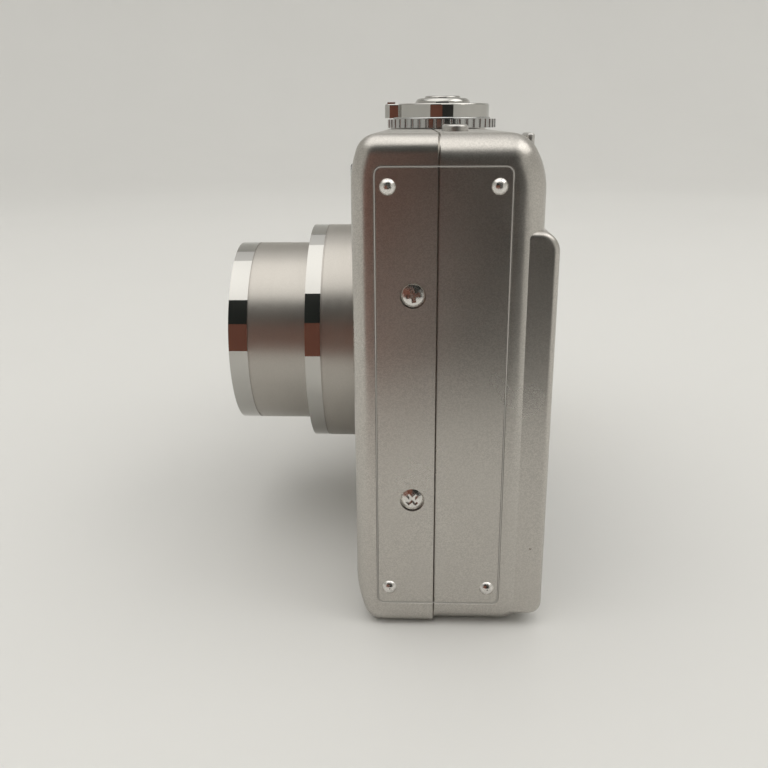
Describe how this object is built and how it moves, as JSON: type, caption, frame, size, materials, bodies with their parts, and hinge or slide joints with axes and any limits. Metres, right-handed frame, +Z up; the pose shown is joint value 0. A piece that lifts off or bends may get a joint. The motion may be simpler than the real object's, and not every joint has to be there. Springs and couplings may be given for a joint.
{
  "type": "compact digital camera",
  "caption": "Compact digital camera with a three-stage zoom lens, sprung controls, a raised screen housing, a hinged battery door and a tripod thread.",
  "frame": {"origin": "centre of the underside, on the plane where the front and back shells meet", "axes": "+Z up, -Y the front that the lens points along, -X the operator's right, where the shutter button is"},
  "size_m": [0.0943, 0.0431, 0.0657],
  "materials": {
    "barrel_silver": "satin silver",
    "battery_label": "film wrap",
    "black_gloss": "gloss",
    "black_plastic": "matt moulded",
    "blade_metal": "matt black",
    "board_green": "solder mask",
    "bright_reflector": "polished",
    "capacitor_sleeve": "shrink sleeve",
    "chrome": "bright plated",
    "clear_plastic": "clear, ribbed inside",
    "contact_brass": "plated",
    "dial_chrome": "bright plated, knurled edge",
    "flash_glass": "clear",
    "gear_plastic": "moulded acetal",
    "key_silver": "satin silver paint on plastic",
    "lens_glass": "coated",
    "motor_can": "drawn can",
    "rod_steel": "ground",
    "screen_dark": "dark, semi-gloss",
    "screw_steel": "nickel plated",
    "sensor_black": "cover glass on package",
    "sheet_steel": "stamped",
    "silver_paint": "satin warm silver paint, very fine metallic grain"
  },
  "bodies": {
    "camera_body": {"back_shell": "silver_paint", "backlight_frame": "black_plastic", "battery": "battery_label", "battery_case": "black_plastic", "battery_contacts": "contact_brass", "card_slot": "sheet_steel", "case_screws": "screw_steel", "chassis_frame": "sheet_steel", "connector": "sheet_steel", "end_studs": "screw_steel", "fixed_barrel": "black_plastic", "flash_capacitor": "capacitor_sleeve", "flash_reflector": "bright_reflector", "flash_tube": "flash_glass", "flash_window": "clear_plastic", "focus_lamp": "clear_plastic", "focus_motor": "motor_can", "front_shell": "silver_paint", "gear_plate": "sheet_steel", "guide_rods": "rod_steel", "image_sensor": "sensor_black", "lens_bezel": "chrome", "main_board": "board_green", "screen_panel": "screen_dark", "screen_window": "black_gloss", "sensor_plate": "sheet_steel", "strap_eyelet": "screw_steel", "tripod_socket": "contact_brass", "zoom_motor": "motor_can"},
    "guide_ring": {"guide_ring": "black_plastic"},
    "outer_barrel": {"outer_barrel": "barrel_silver", "outer_barrel_ring": "chrome"},
    "inner_barrel": {"inner_barrel": "barrel_silver", "inner_barrel_ring": "chrome", "lens_name_ring": "black_plastic", "front_lens": "lens_glass"},
    "upper_blade": {"upper_barrier_blade": "blade_metal"},
    "lower_blade": {"lower_barrier_blade": "blade_metal"},
    "focus_carriage": {"focus_lens_frame": "black_plastic", "focus_lens": "lens_glass"},
    "long_pinion": {"long_pinion": "gear_plastic"},
    "idler_gear": {"idler_gear": "gear_plastic"},
    "motor_pinion": {"motor_pinion": "gear_plastic"},
    "shutter_button": {"shutter_button": "chrome"},
    "zoom_lever": {"zoom_lever": "chrome"},
    "mode_dial": {"mode_dial": "dial_chrome"},
    "power_button": {"power_button": "key_silver"},
    "print_key": {"print_key": "black_plastic"},
    "up_key": {"up_key": "key_silver"},
    "left_key": {"left_key": "key_silver"},
    "down_key": {"down_key": "key_silver"},
    "right_key": {"right_key": "key_silver"},
    "set_key": {"set_key": "chrome"},
    "menu_key": {"menu_key": "key_silver"},
    "playback_key": {"playback_key": "key_silver"},
    "battery_door": {"battery_door": "key_silver"},
    "door_latch": {"door_latch": "black_plastic"},
    "battery_latch": {"battery_latch": "black_plastic"},
    "memory_card": {"memory_card": "black_plastic"},
    "connector_cover": {"connector_cover": "key_silver"}
  },
  "joints": [
    {"name": "lens_extend", "type": "slide", "parent": "camera_body", "child": "guide_ring", "axis": [0, -1, 0], "range_m": [-0.0076, 0]},
    {"name": "barrel_turn", "type": "hinge", "parent": "guide_ring", "child": "outer_barrel", "pos_m": [0.007, 0, 0.0292], "axis": [0, 1, 0], "range_deg": [-75, 0]},
    {"name": "inner_extend", "type": "slide", "parent": "guide_ring", "child": "inner_barrel", "axis": [0, -1, 0], "range_m": [-0.01121, 0]},
    {"name": "pinion_turn", "type": "hinge", "parent": "camera_body", "child": "long_pinion", "pos_m": [0.02018, 0, 0.0135], "axis": [0, 1, 0], "range_deg": [0, 438]},
    {"name": "idler_turn", "type": "hinge", "parent": "camera_body", "child": "idler_gear", "pos_m": [0.02904, 0, 0.01193], "axis": [0, 1, 0], "range_deg": [-219, 0]},
    {"name": "motor_turn", "type": "hinge", "parent": "camera_body", "child": "motor_pinion", "pos_m": [0.03741, 0, 0.01046], "axis": [0, 1, 0], "range_deg": [0, 526]},
    {"name": "upper_blade_turn", "type": "hinge", "parent": "inner_barrel", "child": "upper_blade", "pos_m": [-0.0038, 0, 0.0292], "axis": [0, 1, 0], "range_deg": [0, 34.4]},
    {"name": "lower_blade_turn", "type": "hinge", "parent": "inner_barrel", "child": "lower_blade", "pos_m": [0.0178, 0, 0.0292], "axis": [0, 1, 0], "range_deg": [0, 34.4]},
    {"name": "focus_travel", "type": "slide", "parent": "camera_body", "child": "focus_carriage", "axis": [0, -1, 0], "range_m": [-0.0005, 0.0005]},
    {"name": "shutter_press", "type": "slide", "parent": "camera_body", "child": "shutter_button", "axis": [0, 0, 1], "range_m": [-0.0009, 0], "stiffness_N_per_m": 300},
    {"name": "zoom_turn", "type": "hinge", "parent": "camera_body", "child": "zoom_lever", "pos_m": [-0.03, 0.0022, 0.062], "axis": [0, 0, 1], "range_deg": [-18, 18], "stiffness_Nm_per_rad": 0.003},
    {"name": "dial_turn", "type": "hinge", "parent": "camera_body", "child": "mode_dial", "pos_m": [-0.0095, 0.0015, 0.061], "axis": [0, 0, 1], "continuous": true},
    {"name": "power_press", "type": "slide", "parent": "camera_body", "child": "power_button", "axis": [0, 0, 1], "range_m": [-0.0004, 0], "stiffness_N_per_m": 400},
    {"name": "print_press", "type": "slide", "parent": "camera_body", "child": "print_key", "axis": [0, 0, 1], "range_m": [-0.0004, 0], "stiffness_N_per_m": 400},
    {"name": "up_press", "type": "slide", "parent": "camera_body", "child": "up_key", "axis": [0, 1, 0], "range_m": [-0.00035, 0], "stiffness_N_per_m": 400},
    {"name": "left_press", "type": "slide", "parent": "camera_body", "child": "left_key", "axis": [0, 1, 0], "range_m": [-0.00035, 0], "stiffness_N_per_m": 400},
    {"name": "down_press", "type": "slide", "parent": "camera_body", "child": "down_key", "axis": [0, 1, 0], "range_m": [-0.00035, 0], "stiffness_N_per_m": 400},
    {"name": "right_press", "type": "slide", "parent": "camera_body", "child": "right_key", "axis": [0, 1, 0], "range_m": [-0.00035, 0], "stiffness_N_per_m": 400},
    {"name": "set_press", "type": "slide", "parent": "camera_body", "child": "set_key", "axis": [0, 1, 0], "range_m": [-0.00035, 0], "stiffness_N_per_m": 400},
    {"name": "menu_press", "type": "slide", "parent": "camera_body", "child": "menu_key", "axis": [0, 1, 0], "range_m": [-0.00035, 0], "stiffness_N_per_m": 400},
    {"name": "playback_press", "type": "slide", "parent": "camera_body", "child": "playback_key", "axis": [0, 1, 0], "range_m": [-0.00035, 0], "stiffness_N_per_m": 400},
    {"name": "door_swing", "type": "hinge", "parent": "camera_body", "child": "battery_door", "pos_m": [-0.014, 0, 0.001], "axis": [0, -1, 0], "range_deg": [0, 90]},
    {"name": "latch_slide", "type": "slide", "parent": "battery_door", "child": "door_latch", "axis": [1, 0, 0], "range_m": [0, 0.0014]},
    {"name": "battery_latch_slide", "type": "slide", "parent": "camera_body", "child": "battery_latch", "axis": [0, 1, 0], "range_m": [0, 0.0006], "stiffness_N_per_m": 100},
    {"name": "card_push", "type": "slide", "parent": "camera_body", "child": "memory_card", "axis": [0, 0, 1], "range_m": [0, 0.0008], "stiffness_N_per_m": 100},
    {"name": "cover_swing", "type": "hinge", "parent": "camera_body", "child": "connector_cover", "pos_m": [-0.04485, 0.0063, 0.0481], "axis": [0, 0, -1], "range_deg": [0, 90]}
  ],
  "couplings": [
    {"joint": "barrel_turn", "follows": "lens_extend", "rad_per_m": 172},
    {"joint": "inner_extend", "follows": "lens_extend", "ratio": 1.4737},
    {"joint": "pinion_turn", "follows": "lens_extend", "rad_per_m": -1003.3},
    {"joint": "idler_turn", "follows": "lens_extend", "rad_per_m": 501.67},
    {"joint": "motor_turn", "follows": "lens_extend", "rad_per_m": -1204},
    {"joint": "lower_blade_turn", "follows": "upper_blade_turn", "ratio": 1}
  ]
}
